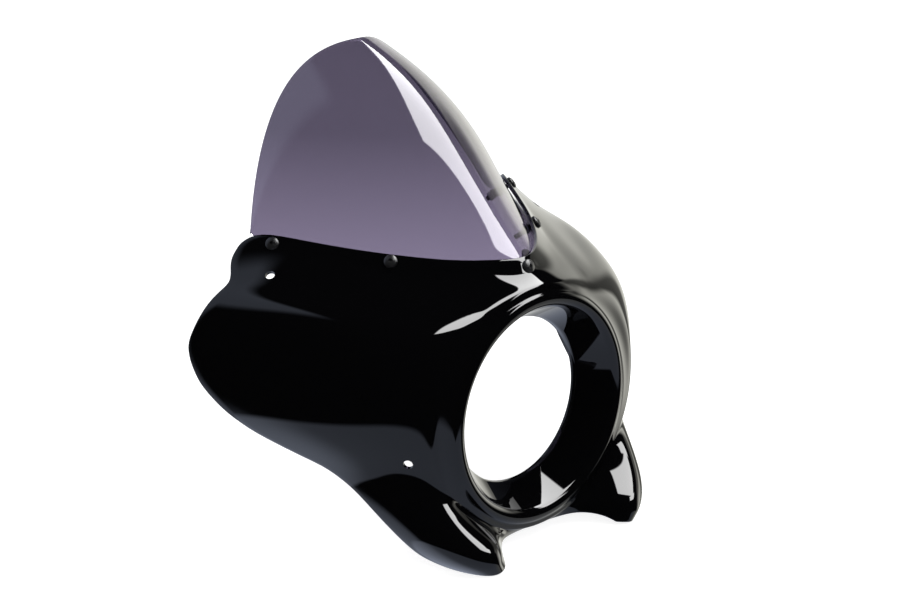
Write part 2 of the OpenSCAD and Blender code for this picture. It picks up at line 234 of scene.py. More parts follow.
def stations():
    """The moulded skin's control rows from the top centre round the right side to the bottom
    centre: angle on the lip, slope and length of the start, three shaping points, edge point."""
    nw, fw, cz = NECK_HALF, FLANK_HALF, CREASE
    rear = float(plan(nw))
    return [
        (90, 45, 6, [0, 11, 121], [0, 20, 128], proud(0, -5, 4.4), proud(0, 14, 4.4)),
        (80, 45, 7, [18, 14, 120.5], [20, 25, 127.5], proud(0.14 * nw, -5, 1.4), proud(0.155 * nw, 14, 1.4)),
        (73, 45, 8, [34, 20, 119], [42, 37, 126], proud(0.31 * nw, -5, 0.6), proud(0.333 * nw, 16, 0.6)),
        (67, 45, 10, [54, 34, 118], [66, 60, 127], proud(0.5 * nw, -5, 0.3), proud(0.54 * nw, 18, 0.3)),
        (62, 45, 11, [68, 40, 116], [84, 80, 128], proud(0.69 * nw, -5, 0.4), proud(0.745 * nw, 20, 0.4)),
        (58, 45, 12, [80, 44, 114], [104, 104, 128], proud(0.87 * nw, -5, -0.4), proud(0.975 * nw, 20, -3)),
        (54, 42, 14, [92, 38, 110], [118, 90, 120], [nw + 4, rear - 36, 132], [nw + 32, rear + 22, 140]),
        (49, 36, 16, [101, 31, 104], [128, 74, 108], [nw + 22, rear - 60, cz - 1], [fw - 14, rear + 22, cz]),
        (42, 30, 18, [112, 26, 98], [144, 70, 106], [fw - 29, rear - 66, 112], [fw + 4, rear + 24, cz - 14]),
        (33, 26, 20, [124, 19, 84], [164, 60, 90], [fw - 19, rear - 72, 94], [fw + 12, rear + 26, 82]),
        (20, 24, 21, [132, 15, 52], [170, 52, 58], [fw - 13, rear - 78, 62], [fw + 14, rear + 28, 56]),
        (7, 26, 20, [132, 14, 16], [166, 48, 20], [fw - 17, rear - 84, 26], [fw + 10, rear + 26, 26]),
        (-6, 28, 20, [130, 15, -14], [159, 48, -10], [fw - 29, rear - 96, -6], [fw - 4, rear + 8, -6]),
        (-17, 32, 18, [124, 14, -38], [148, 44, -33], [fw - 49, rear - 114, -29], [fw - 30, rear - 34, -36]),
        (-26, 40, 16, [117, 12, -55], [139, 25, -50], [157, 76, -50], [166, 138, -62]),
        (-34, 44, 12, [106, 12, -69], [131, 2, -69], [150, 37, -81], [141, 92, -100]),
        (-42, 40, 10, [88, 15, -79], [118, -19, -91], [141, 1, -106], [118, 58, -136]),
        (-48, 25, 9, [79, 17, -88], [101, -30, -103], [123, -24, -120], [100, 20, -142]),
        (-53, 20, 8, [70, 18, -94], [87, -33, -112], [FIN_X + 8, -4 - FIN_Y, -124],
         [FIN_X, -6 - FIN_Y, -144]),
        (-59, 25, 8, [62, 14, -102], [72, -8, -111], [76, -16, -118], [77, -20, -124]),
        (-68, 40, 6, [50, 9, -108], [51, 11, -113], [51, 12, -117], [51, 13, -120]),
        (-90, 45, 5, [0, 8, -117], [0, 12, -119], [0, 16, -121], [0, 20, -122]),
    ]


def trim_outline():
    """Side view outline of the trimmed shell, as depth and height, with its corners eased."""
    rear, cz = float(plan(NECK_HALF)), CREASE
    outline = np.array([
        [-90, NECK_TOP], [NOSE_Y, NECK_TOP], [rear - 145, NECK_TOP],
        [rear - 100, NECK_TOP + 4], [rear - 48, NECK_TOP + 9.5], [rear - 4, NECK_TOP + RISE],
        [rear + 10, NECK_TOP + RISE - 1], [rear + 17, NECK_TOP + RISE - 8],
        [rear + 15, NECK_TOP - 7], [rear + 2, cz + 3], [rear + 2, cz - 3], [rear + 12, 88], [rear + 21, 64],
        [rear + 19, 47], [rear + 11, 25], [rear - 9, 2], [rear - 34, -15], [rear - 74, -32], [rear - 99, -42],
        [90, -62], [67, -86], [41, -112], [30, -120], [0, 4 - FIN_Z], [6 - FIN_Y, 1 - FIN_Z],
        [-FIN_Y, 1 - FIN_Z], [-FIN_Y - 8, 4 - FIN_Z], [-FIN_Y - 14, -90], [-90, -60]], float)
    for _ in range(3):
        after = np.roll(outline, -1, 0)
        outline = np.stack([outline * 0.8 + after * 0.2, outline * 0.2 + after * 0.8], 1).reshape(-1, 2)
    return outline


def inside(p, outline):
    """True where points lie inside the side view outline."""
    y, z = p[..., 1], p[..., 2]
    hit = np.zeros(y.shape, int)
    for a, b in zip(outline, np.roll(outline, -1, 0)):
        crosses = (a[1] > z) != (b[1] > z)
        rise = b[1] - a[1] if abs(b[1] - a[1]) > 1e-9 else 1e-9
        hit += crosses & (y < (b[0] - a[0]) * (z - a[1]) / rise + a[0])
    return hit % 2 == 1


def blend(t):
    """Weights of the uniform cubic spline."""
    weights = [(1 - t) ** 3, 3 * t ** 3 - 6 * t * t + 4, -3 * t ** 3 + 3 * t * t + 3 * t + 1, t ** 3]
    return np.stack(weights, -1) / 6


class Skin:
    """The moulded skin: spline round the opening times spline out to the edge."""

    def __init__(self, sizes):
        rows = stations()
        half = len(rows) - 1
        self.ring = 2 * half
        order = [(k, 1) if k <= half else (self.ring - k, -1) for k in range(self.ring)]
        self.angle = np.array([rows[k][0] if s > 0 else -180 - rows[k][0] for k, s in order], float)
        self.start = np.array([rows[k][1:3] for k, s in order], float)
        self.points = np.array([[[p[0] * s, p[1], p[2]] for p in rows[k][3:]] for k, s in order], float)
        lip, rim = sizes.lip_radius / MM, sizes.rim_radius / MM
        self.lip_r = lip
        self.lip_c = rim + lip * 0.82
        self.lip_out = self.lip_c + lip * math.cos(math.radians(45))
        self.lip_out_y = lip * (1 - math.sin(math.radians(45)))
        self.wall = sizes.wall / MM
        self.outline = trim_outline()

    def gather(self, u):
        """The four stations that shape each place round the loop, and their weights."""
        i = np.floor(u).astype(int)
        return i[:, None] + np.arange(-1, 3)[None, :], blend(u - i)

    def lip_angle(self, u):
        """Angle on the lip in degrees, falling steadily round the loop."""
        k, w = self.gather(u)
        turns = np.floor_divide(k, self.ring)
        return ((self.angle[k % self.ring] - 360 * turns) * w).sum(1)

    def across(self, u):
        """Six control points across the skin, with a ghost point before and after."""
        k, w = self.gather(u)
        k = k % self.ring
        a = np.radians(self.lip_angle(u))
        slope, reach = (self.start[k] * w[..., None]).sum(1).T
        slope = np.radians(slope)
        body = (self.points[k] * w[..., None, None]).sum(1)

        def around(r, y):
            return np.stack([r * np.cos(a), y + 0 * a, r * np.sin(a)], -1)

        first = around(self.lip_out + 0 * a, self.lip_out_y)
        second = around(self.lip_out + reach * np.cos(slope), self.lip_out_y + reach * np.sin(slope))
        p = np.concatenate([first[:, None], second[:, None], body], 1)
        return np.concatenate([2 * p[:, :1] - p[:, 1:2], p, 2 * p[:, -1:] - p[:, -2:-1]], 1)

    @staticmethod
    def curve(q, t):
        """Points at t (columns by rows) on the curves through control points q."""
        i = np.clip(np.floor(t * 5).astype(int), 0, 4)
        w = blend(t * 5 - i)
        cols = np.arange(len(q))[:, None]
        return sum(w[..., a, None] * q[cols, i + a] for a in range(4))

    def at(self, u, t):
        """Points of the skin at places round the loop and shares of the way across."""
        return self.curve(self.across(u), t)

    def normal(self, u, t):
        """Outward normal and outward direction along the skin."""
        e = 1e-3
        along = self.at(u + e, t) - self.at(u - e, t)
        out = self.at(u, t + e) - self.at(u, t - e)
        return unit(np.cross(along, out)), unit(out)

    def trim_at(self, u):
        """Where each column leaves the side view outline."""
        q = self.across(u)
        t = np.full((len(u), 1), TRIM_FROM)
        going = np.ones(len(u), bool)
        while going.any():
            step = np.minimum(t + TRIM_STEP, 1)
            ok = inside(self.curve(q, step)[:, 0], self.outline) & going
            t[ok] = step[ok]
            going = ok & (t[:, 0] < 1)
        lo, hi = t.copy(), np.minimum(t + TRIM_STEP, 1)
        for _ in range(TRIM_HALVINGS):
            mid = (lo + hi) / 2
            ok = inside(self.curve(q, mid)[:, 0], self.outline)[:, None]
            lo, hi = np.where(ok, mid, lo), np.where(ok, hi, mid)
        return lo[:, 0]


def ring_places(skin):
    """Places round the loop, closer together where the outline turns quickly."""
    def density(u):
        v = np.minimum(u, skin.ring - u)
        return 7 + 9 * np.exp(-((v - 6.6) / 1.2) ** 2) + 7 * np.exp(-((v - 18) / 1.6) ** 2) \
            + 3 * np.exp(-(v / 2.0) ** 2)

    fine = np.linspace(0, skin.ring, 8401)
    mean = (density(fine[1:]) + density(fine[:-1])) / 2
    total = np.concatenate([[0], np.cumsum(mean * np.diff(fine))])
    count = 2 * int(total[-1] / 2)
    return np.interp(np.arange(count) * total[-1] / count, total, fine)


def smooth(mesh):
    """Shades every face smooth."""
    for polygon in mesh.polygons:
        polygon.use_smooth = True


def add_object(name, data):
    """Puts new data in the scene as an object."""
    thing = bpy.data.objects.new(name, data)
    bpy.context.scene.collection.objects.link(thing)
    return thing


def mesh_object(name, points, faces):
    """A smooth shaded object from points in metres and faces."""
    mesh = bpy.data.meshes.new(name)
    mesh.from_pydata([tuple(p) for p in points], [], faces)
    mesh.validate()
    mesh.update()
    smooth(mesh)
    return add_object(name, mesh)


def to_row(points):
    """From millimetres before the lip to metres from the origin."""
    return (np.asarray(points) + np.array([0, LIP_Y, 0])) * MM


def grid_faces(cols, rows, closed):
    """Faces between columns and rows of points; a closed grid joins round both ways."""
    faces = []
    for j in range(cols if closed else cols - 1):
        a, b = j * rows, ((j + 1) % cols) * rows
        for k in range(rows if closed else rows - 1):
            n = (k + 1) % rows
            faces.append((a + k, a + n, b + n, b + k))
    return faces


def ease(t):
    """Goes smoothly from 0 to 1."""
    t = np.clip(t, 0, 1)
    return t * t * (3 - 2 * t)


def collar_section(skin, sizes):
    """The collar and lip as rows of radius, depth and the outward normal in the same directions."""
    bore, depth, land = sizes.bore_radius / MM, sizes.collar_depth / MM, sizes.land_length / MM
    lip, inner = skin.lip_r, math.radians(LIP_FROM)
    back = [(bore, depth - BACK_SHORT, -1, 0), (bore, depth - land + LAND_SHORT, -1, 0)]
    rim_r, rim_y = skin.lip_c + lip * math.cos(inner), lip + lip * math.sin(inner)
    slope = np.array([rim_r - bore, rim_y - (depth - land)])
    slope /= np.linalg.norm(slope)
    side = (-abs(slope[1]), -abs(slope[0]))
    cone = [(bore + (rim_r - bore) * s, depth - land + (rim_y - depth + land) * s, *side)
            for s in CONE_SHARES]
    arc = []
    for k in range(LIP_STEPS):
        f = math.radians(LIP_FROM + LIP_TURN * k / (LIP_STEPS - 1))
        arc.append((skin.lip_c + lip * math.cos(f), lip + lip * math.sin(f), math.cos(f), math.sin(f)))
    return np.array(back + cone + arc)


def shell_profile(skin, u, sizes):
    """Closed section of the wall at each place: collar, lip, skin, edge and back along the inside.
    Returns points by column and the row where the inside begins."""
    a = np.radians(skin.lip_angle(u))[:, None]
    wall = skin.wall

    def around(r, y):
        return np.stack(np.broadcast_arrays(r * np.cos(a), y + 0 * a, r * np.sin(a)), -1)

    r, y, normal_r, normal_y = collar_section(skin, sizes).T
    face = around(r[None], y[None])
    face_inner = around((r - wall * normal_r)[None], (y - wall * normal_y)[None])

    q = skin.across(u)
    end = skin.trim_at(u)[:, None]
    pace = np.linalg.norm(skin.curve(q, end) - skin.curve(q, end - 0.01), axis=-1) / 0.01
    round_r = min(sizes.edge_round / MM, wall / 2.2)
    t = (end - round_r / pace) * np.linspace(0, 1, SKIN_ROWS + 1)[None, 1:]
    p = skin.curve(q, t)
    n = skin.normal(u, t)[0]
    lift = wall * ease(t / WALL_START)[..., None]
    top = p + n * lift
    under = p + n * (lift - wall)

    e = skin.curve(q, end)
    ne, te = skin.normal(u, end)
    quarter = [(round_r * (1 - math.cos(f)), round_r * (1 - math.sin(f))) for f in np.radians(EDGE_TURNS)]
    rim = [e + ne * (wall - sunk) - te * short for sunk, short in quarter]
    rim += [e + ne * sunk - te * short for sunk, short in quarter[::-1]]
    ring = np.concatenate([face, top, *rim, under[:, ::-1], face_inner[:, ::-1]], 1)
    return ring, face.shape[1] + top.shape[1] + len(quarter)


def build_shell(sizes):
    """The moulded shell, with its bracket holes cut on both sides."""
    skin = Skin(sizes)
    ring, inside_from = shell_profile(skin, ring_places(skin), sizes)
    cols, rows = ring.shape[:2]
    shell = mesh_object("cowl_shell_skin", to_row(ring.reshape(-1, 3)), grid_faces(cols, rows, True))
    for polygon in shell.data.polygons:
        polygon.material_index = 1 if inside_from <= polygon.index % rows else 0
    for station, share in BRACKET_PLACES:
        u = np.array([station])
        t = skin.trim_at(u)[:, None] * share
        p, n = skin.at(u, t)[0, 0], skin.normal(u, t)[0][0, 0]
        for side in ((1, 1, 1), (-1, 1, 1)):
            cut_round(shell, Vector(to_row(p * side)), Vector(n * side), sizes.bracket_hole / 2)
    return shell


def cut_round(shell, place, way, radius):
    """Cuts a round hole through a piece, along a direction."""
    turn = way.to_track_quat("Z", "Y").to_matrix().to_4x4()
    mesh = bpy.data.meshes.new("cutter")
    bm = bmesh.new()
    bmesh.ops.create_cone(bm, cap_ends=True, segments=64, radius1=radius, radius2=radius,
                          depth=CUTTER_LENGTH)
    bm.transform(Matrix.Translation(place) @ turn)
    bm.to_mesh(mesh)
    bm.free()
    smooth(mesh)
    cutter = add_object("cutter", mesh)
    cut = shell.modifiers.new("hole", "BOOLEAN")
    cut.object = cutter
    cut.solver = "EXACT"
    bake(shell)
    bpy.data.objects.remove(cutter)
    bpy.data.meshes.remove(mesh)


def bake(thing):
    """Turns a piece with its modifiers into a plain mesh."""
    graph = bpy.context.evaluated_depsgraph_get()
    graph.update()
    mesh = bpy.data.meshes.new_from_object(thing.evaluated_get(graph), depsgraph=graph)
    old = thing.data
    thing.modifiers.clear()
    thing.data = mesh
    bpy.data.meshes.remove(old)
    mesh.name = thing.name


def screen_faces(thick, crown):
    """Front and back points of the screen: the neck's sheet carried on upwards, swollen a little
    and cut to an arch."""
    cols, rows = SCREEN_GRID
    s = np.linspace(-1, 1, cols)
    x = (SCREEN_HALF * np.sin(np.pi / 2 * (0.35 * s + 0.65 * s ** 3)))[:, None]
    across = np.abs(x) / SCREEN_HALF
    foot = edge_height(SCREEN_HALF)
    high = foot + (SCREEN_TOP - foot) * (1 - np.minimum(1, across) ** 2) - edge_height(x)
    low = -SCREEN_LAP * (1 - 0.8 * across ** 12)
    up = low + (high - low) * np.linspace(0, 1, rows)[None]
    x = np.broadcast_to(x, up.shape)
    share = np.clip(up / np.maximum(1, high), 0, None)
    swell = crown * np.sin(np.pi * np.minimum(1, share) ** 1.5) * (1 - across * across)
    sheet, n = neck(x, up), neck_normal(x, up)
    front = sheet - n * (SKIN_SINK - swell)[..., None]
    back = sheet - n * (SKIN_SINK + thick - swell)[..., None]
    return front, back


def border_ways(front):
    """Direction out of the sheet at each point of its border, and nothing elsewhere."""
    border = np.zeros_like(front)
    border[:, 0] = unit(front[:, 0] - front[:, 1])
    border[:, -1] = unit(front[:, -1] - front[:, -2])
    border[0] += unit(front[0] - front[1])
    border[-1] += unit(front[-1] - front[-2])
    length = np.linalg.norm(border, axis=-1, keepdims=True)
    return np.where(length > 0, border / np.maximum(length, 1e-9), 0)


def build_screen(sizes):
    """The screen, whose faces stop short of the edge so that an arc can join them."""
    cols, rows = SCREEN_GRID
    thick = sizes.screen_thickness / MM
    front, back = screen_faces(thick, sizes.screen_crown / MM)
    n, way = unit(front - back), border_ways(front)
    middle = (front + back) / 2
    inset = -way * SCREEN_BORDER
    points = [*(front + inset).reshape(-1, 3), *(back + inset).reshape(-1, 3)]
    faces = []
    for f in grid_faces(cols, rows, False):
        faces.append(f[::-1])
        faces.append(tuple(v + cols * rows for v in f))
    loop = [(i, 0) for i in range(cols)] + [(cols - 1, m) for m in range(1, rows)] \
        + [(i, rows - 1) for i in range(cols - 2, -1, -1)] + [(0, m) for m in range(rows - 2, 0, -1)]
    arcs = []
    for i, m in loop:
        arc = [i * rows + m]
        for f in np.radians([30, 60, 90, 120, 150]):
            arc.append(len(points))
            points.append(middle[i, m] + inset[i, m] + n[i, m] * thick / 2 * math.cos(f)
                          + way[i, m] * SCREEN_BORDER * math.sin(f))
        arc.append(cols * rows + i * rows + m)
        arcs.append(arc)
    for one, two in zip(arcs, arcs[1:] + arcs[:1]):
        faces += [(one[k], two[k], two[k + 1], one[k + 1]) for k in range(len(one) - 1)]
    return solid_object("windscreen_sheet", to_row(np.array(points)), faces)


def solid_object(name, points, faces):
    """A closed mesh with its faces turned outwards."""
    thing = mesh_object(name, points, faces)
    bm = bmesh.new()
    bm.from_mesh(thing.data)
    bmesh.ops.recalc_face_normals(bm, faces=bm.faces)
    bm.to_mesh(thing.data)
    bm.free()
    return thing


# Fixings, in metres

SCREW_LENGTH, HEAD_EDGE, SOCKET_DEPTH = 0.019, 0.0008, 0.55
WASHER_THICK, WASHER_RIM, WASHER_BREAK = 0.0015, 0.0026, 0.0003
NUT_THICK, NUT_HALF, NUT_BREAK, NUT_EDGE = 0.004, 0.004, 0.0003, 0.00035
HOLE_PLAY = 0.0001
# How far the screws' seats sink into the neck and the nuts stand off their washers.
SEAT_SINK, NUT_GAP = 0.0001, 0.0001
# The washer's place is tested over this many times its radius, and this much room is left there,
# in millimetres.
WASHER_MARGIN, WASHER_ROOM = 1.3, 0.25
# Degrees by which each screw and nut is turned on from the one before.
SCREW_TURN, NUT_TURN = 37, 23


def circle(sides, reach, z):
    """Points round the axis at a height, at the reach that each angle gives."""
    angles = [2 * math.pi * i / sides for i in range(sides)]
    return [(reach(f) * math.cos(f), reach(f) * math.sin(f), z) for f in angles]


def band(a, b):
    """Faces between two rings of points."""
    sides = len(a)
    return [(a[i], a[(i + 1) % sides], b[(i + 1) % sides], b[i]) for i in range(sides)]


def closed_bands(rings):
    """Faces of a closed form whose last ring joins its first."""
    return [face for a, b in zip(rings, rings[1:] + rings[:1]) for face in band(a, b)]


def hexagon(angle, half_flats):
    """From the axis to the side of a hexagon."""
    return half_flats / math.cos((angle + math.pi / 6) % (math.pi / 3) - math.pi / 6)


def add_ring(points, ring):
    """Adds a ring's points and returns their numbers."""
    points += ring
    return list(range(len(points) - len(ring), len(points)))


def spun(profile, sides):
    """A form turned about Z from a profile of radius and height; it may start on the axis."""
    points, faces, before = [], [], None
    for r, z in profile:
        at_axis = r == 0
        ring = add_ring(points, [(0, 0, z)] if at_axis else circle(sides, lambda f: r, z))
        if before and len(before) == 1:
            faces += [(before[0], ring[i], ring[(i + 1) % sides]) for i in range(sides)]
        elif before:
            faces += band(before, ring)
        before = ring
    return points, faces


def screw_form(sizes):
    """A button head screw with a hexagon socket; Z points out of the head, its seat at zero."""
    r, h, shank = sizes.head_diameter / 2, sizes.head_height, sizes.screw_diameter / 2
    half_flats, deep = sizes.socket_flats / 2, h * SOCKET_DEPTH
    sides, steps = 48, 12
    dome = []
    for k in range(steps + 1):
        f = k / steps
        rr = r * 0.985 * (1 - f) + half_flats * 1.32 * f
        dome.append((rr, HEAD_EDGE + (h - HEAD_EDGE) * math.sqrt(max(0, 1 - (rr / (r * 1.03)) ** 2)) ** 0.9))
    end = -SCREW_LENGTH
    points, faces = spun([(0, end), (shank * 0.8, end), (shank, end + 0.0005), (shank, -0.0002),
                          (r * 0.96, -0.0002), (r, 0.0001), (r, HEAD_EDGE * 0.8)] + dome, sides)
    # The top ring closes down into a hexagon socket.
    before = list(range(len(points) - sides, len(points)))
    top = points[-1][2]
    socket = ((1.08, top + 0.00003), (1.0, top - 0.00015), (1.0, top - deep), (0.5, top - deep - 0.0003))
    for scale, z in socket:
        ring = add_ring(points, circle(sides, lambda f: hexagon(f, scale * half_flats), z))
        faces += band(before, ring)
        before = ring
    faces.append(tuple(before))
    return solid_object("screw_form", points, faces)


def washer_form(sizes):
    """A rubber washer with a small break on its edges."""
    hole, rim = sizes.screw_diameter / 2 + HOLE_PLAY, sizes.screw_diameter / 2 + WASHER_RIM
    t, b, sides = WASHER_THICK, WASHER_BREAK, 40
    profile = [(hole, b), (hole + b, 0), (rim - b, 0), (rim, b),
               (rim, t - b), (rim - b, t), (hole + b, t), (hole, t - b)]
    points = []
    rings = [add_ring(points, circle(sides, lambda f: r, z)) for r, z in profile]
    return solid_object("washer_form", points, closed_bands(rings))


def nut_form(sizes):
    """A hexagon nut with its corners turned off at both ends."""
    hole, t, sides = sizes.screw_diameter / 2 + HOLE_PLAY, NUT_THICK, 60
    points, rings = [], []

    def turned(radius, z):
        rings.append(add_ring(points, circle(sides, lambda f: radius, z)))

    def hexed(z, way):
        ring = []
        for x, y, _ in circle(sides, lambda f: hexagon(f, NUT_HALF), z):
            drop = max(0, math.hypot(x, y) - NUT_HALF * 1.02) * 0.55
            ring.append((x, y, z + way * drop))
        rings.append(add_ring(points, ring))

    turned(hole, NUT_BREAK)
    turned(hole + NUT_BREAK, 0)
    turned(NUT_HALF, 0)
    hexed(NUT_EDGE, 1)
    hexed(t - NUT_EDGE, -1)
    turned(NUT_HALF, t)
    turned(hole + NUT_BREAK, t)
    turned(hole, t - NUT_BREAK)
    return solid_object("nut_form", points, closed_bands(rings))


def washer_top(x, sizes):
    """Depth of the washer's upper face inside the neck's sheet, in millimetres, so that the whole
    washer clears the screen's curved back."""
    r = (sizes.screw_diameter / 2 + WASHER_RIM) / MM * WASHER_MARGIN
    up, depth = -SCREW_DROP, SKIN_SINK + sizes.screen_thickness / MM
    c, n = neck(x, up), neck_normal(x, up)
    wide = r / np.linalg.norm(neck(x + 0.5, up) - neck(x - 0.5, up))
    tall = r / np.linalg.norm(neck(x, up + 0.5) - neck(x, up - 0.5))
    lows = []
    for f in np.radians(np.arange(0, 360, 30)):
        xx, uu = x + wide * math.cos(f), up + tall * math.sin(f)
        lows.append((neck(xx, uu) - neck_normal(xx, uu) * depth - c) @ n)
    return min(lows) - WASHER_ROOM


def fixing_tree():
    """Geometry nodes: one copy of a form on each seat, turned to the seat's normal."""
    tree = bpy.data.node_groups.new("fixings_on_seats", "GeometryNodeTree")
    face = tree.interface
    face.new_socket("Geometry", in_out="INPUT", socket_type="NodeSocketGeometry")
    face.new_socket("Form", in_out="INPUT", socket_type="NodeSocketObject")
    size = face.new_socket("Size", in_out="INPUT", socket_type="NodeSocketFloat")
    size.default_value = 1.0
    turn = face.new_socket("Turn", in_out="INPUT", socket_type="NodeSocketFloat")
    turn.subtype = "ANGLE"
    face.new_socket("Finish", in_out="INPUT", socket_type="NodeSocketMaterial")
    face.new_socket("Geometry", in_out="OUTPUT", socket_type="NodeSocketGeometry")
    new, join = tree.nodes.new, tree.links.new
    come, go = new("NodeGroupInput"), new("NodeGroupOutput")
    way = new("GeometryNodeInputNamedAttribute")
    way.data_type = "FLOAT_VECTOR"
    way.inputs["Name"].default_value = "way"
    align = new("FunctionNodeAlignRotationToVector")
    align.axis = "Z"
    form = new("GeometryNodeObjectInfo")
    form.transform_space = "ORIGINAL"
    spread = new("GeometryNodeInstanceOnPoints")
    spin = new("GeometryNodeRotateInstances")
    number = new("GeometryNodeInputIndex")
    times = new("ShaderNodeMath")
    times.operation = "MULTIPLY"
    pack = new("ShaderNodeCombineXYZ")
    real = new("GeometryNodeRealizeInstances")
    paint = new("GeometryNodeSetMaterial")
    join(come.outputs["Geometry"], spread.inputs["Points"])
    join(come.outputs["Form"], form.inputs["Object"])
    join(form.outputs["Geometry"], spread.inputs["Instance"])
    join(way.outputs["Attribute"], align.inputs["Vector"])
    join(align.outputs["Rotation"], spread.inputs["Rotation"])
    join(come.outputs["Size"], spread.inputs["Scale"])
    join(number.outputs["Index"], times.inputs[0])
    join(come.outputs["Turn"], times.inputs[1])
    join(times.outputs["Value"], pack.inputs["Z"])
    join(spread.outputs["Instances"], spin.inputs["Instances"])
    join(pack.outputs["Vector"], spin.inputs["Rotation"])
    join(spin.outputs["Instances"], real.inputs["Geometry"])
    join(real.outputs["Geometry"], paint.inputs["Geometry"])
    join(come.outputs["Finish"], paint.inputs["Material"])
    join(paint.outputs["Geometry"], go.inputs["Geometry"])
    return tree


def set_input(modifier, name, value):
    """Sets a modifier's input by its socket's identifier."""
    for item in modifier.node_group.interface.items_tree:
        if item.item_type == "SOCKET" and item.in_out == "INPUT" and item.name == name:
            modifier[item.identifier] = value
            return
    raise ValueError("no input named " + name)


def place_fixings(name, form, depths, finish, turn):
    """Puts the form on the five seats, each at its own depth along the seat's normal."""
    points, ways = [], []
    for x, depth in zip(SCREW_X, depths):
        n = neck_normal(x, -SCREW_DROP)
        points.append(to_row(neck(x, -SCREW_DROP) + n * depth))
        ways.append(n)
    thing = mesh_object(name, points, [])
    attribute = thing.data.attributes.new("way", "FLOAT_VECTOR", "POINT")
    attribute.data.foreach_set("vector", np.array(ways, np.float32).ravel())
    modifier = thing.modifiers.new("fixings", "NODES")
    modifier.node_group = bpy.data.node_groups.get("fixings_on_seats") or fixing_tree()
    set_input(modifier, "Form", form)
    set_input(modifier, "Turn", math.radians(turn))
    set_input(modifier, "Finish", finish)
    bake(thing)
    bpy.data.objects.remove(form)
    smooth(thing.data)
    thing.data.set_sharp_from_angle(angle=math.radians(FIXING_SHARP))
    return thing


# Materials

# Heights in millimetres between which the screen's colour goes darker.
TINT_FOOT, TINT_HEAD = NECK_TOP - 5, SCREEN_TOP - 75


def node_material(name):
    """A new material, its tree and its shader."""
    material = bpy.data.materials.new(name)
    material.use_nodes = True
    tree = material.node_tree
    return material, tree, tree.nodes["Principled BSDF"]


def fine_noise(tree, scale, detail):
    """Noise on Object coordinates."""
    place = tree.nodes.new("ShaderNodeTexCoord")
    noise = tree.nodes.new("ShaderNodeTexNoise")
    noise.inputs["Scale"].default_value = scale
    noise.inputs["Detail"].default_value = detail
    tree.links.new(place.outputs["Object"], noise.inputs["Vector"])
    return noise.outputs["Fac"]


def uneven(tree, shader, noise, low, high):
    """Spreads a noise's middle range over two values of roughness."""
    span = tree.nodes.new("ShaderNodeMapRange")
    span.inputs["From Min"].default_value = 0.3
    span.inputs["From Max"].default_value = 0.7
    span.inputs["To Min"].default_value = low
    span.inputs["To Max"].default_value = high
    tree.links.new(noise, span.inputs["Value"])
    tree.links.new(span.outputs["Result"], shader.inputs["Roughness"])


def bump(tree, shader, noise, strength, distance):
    """Roughens the shader's normal with a noise."""
    node = tree.nodes.new("ShaderNodeBump")
    node.inputs["Strength"].default_value = strength
    node.inputs["Distance"].default_value = distance
    tree.links.new(noise, node.inputs["Height"])
    tree.links.new(node.outputs["Normal"], shader.inputs["Normal"])


def gloss_black(finish):
    """Polished moulded plastic: deep black, with the faint unevenness of a drawn sheet."""
    material, tree, shader = node_material("gloss_black_plastic")
    shader.inputs["Base Color"].default_value = finish.shell_colour
    shader.inputs["IOR"].default_value = 1.5
    uneven(tree, shader, fine_noise(tree, 60, 3), finish.shell_roughness * 0.8, finish.shell_roughness * 1.3)
    bump(tree, shader, fine_noise(tree, 9, 1), 0.05, 0.002)
    return material


def mould_back(finish):
    """The unpolished inside of the shell, with a fine even grain."""
    material, tree, shader = node_material("satin_black_inside")
    shader.inputs["Base Color"].default_value = finish.inside_colour
    grain = fine_noise(tree, 900, 2)
    uneven(tree, shader, grain, 0.32, 0.46)
    bump(tree, shader, grain, 0.25, 0.0002)
    return material


def smoked_acrylic(finish):
    """Clear smoked acrylic: light goes through, and its colour is darker towards the top."""
    material, tree, shader = node_material("smoked_acrylic")
    place = tree.nodes.new("ShaderNodeTexCoord")
    split = tree.nodes.new("ShaderNodeSeparateXYZ")
    span = tree.nodes.new("ShaderNodeMapRange")
    span.inputs["From Min"].default_value = TINT_FOOT * MM
    span.inputs["From Max"].default_value = TINT_HEAD * MM
    tint = tree.nodes.new("ShaderNodeMix")
    tint.data_type = "RGBA"
    tint.inputs["A"].default_value = finish.screen_colour
    tint.inputs["B"].default_value = finish.screen_top_colour
    tree.links.new(place.outputs["Object"], split.inputs["Vector"])
    tree.links.new(split.outputs["Z"], span.inputs["Value"])
    tree.links.new(span.outputs["Result"], tint.inputs["Factor"])
    tree.links.new(tint.outputs["Result"], shader.inputs["Base Color"])
    shader.inputs["Transmission Weight"].default_value = 1.0
    shader.inputs["IOR"].default_value = 1.49
    uneven(tree, shader, fine_noise(tree, 40, 2), 0.0, 0.02)
    return material


def black_steel(finish):
    """Blackened steel with a fine grain."""
    material, tree, shader = node_material("blackened_steel")
    shader.inputs["Base Color"].default_value = finish.screw_colour
    grain = fine_noise(tree, 2500, 2)
    uneven(tree, shader, grain, 0.24, 0.36)
    bump(tree, shader, grain, 0.12, 0.0001)
    return material


def black_rubber(finish):
    """Matt rubber."""
    material, tree, shader = node_material("black_rubber")
    shader.inputs["Base Color"].default_value = finish.rubber_colour
    grain = fine_noise(tree, 1800, 3)
    uneven(tree, shader, grain, 0.6, 0.8)
    bump(tree, shader, grain, 0.3, 0.0001)
    return material


def zinc_plate(finish):
    """Bright zinc plate, slightly clouded."""
    material, tree, shader = node_material("zinc_plate")
    shader.inputs["Base Color"].default_value = finish.nut_colour
    shader.inputs["Metallic"].default_value = 1.0
    grain = fine_noise(tree, 1200, 3)
    uneven(tree, shader, grain, 0.25, 0.42)
    bump(tree, shader, grain, 0.15, 0.0001)
    return material


# Stage

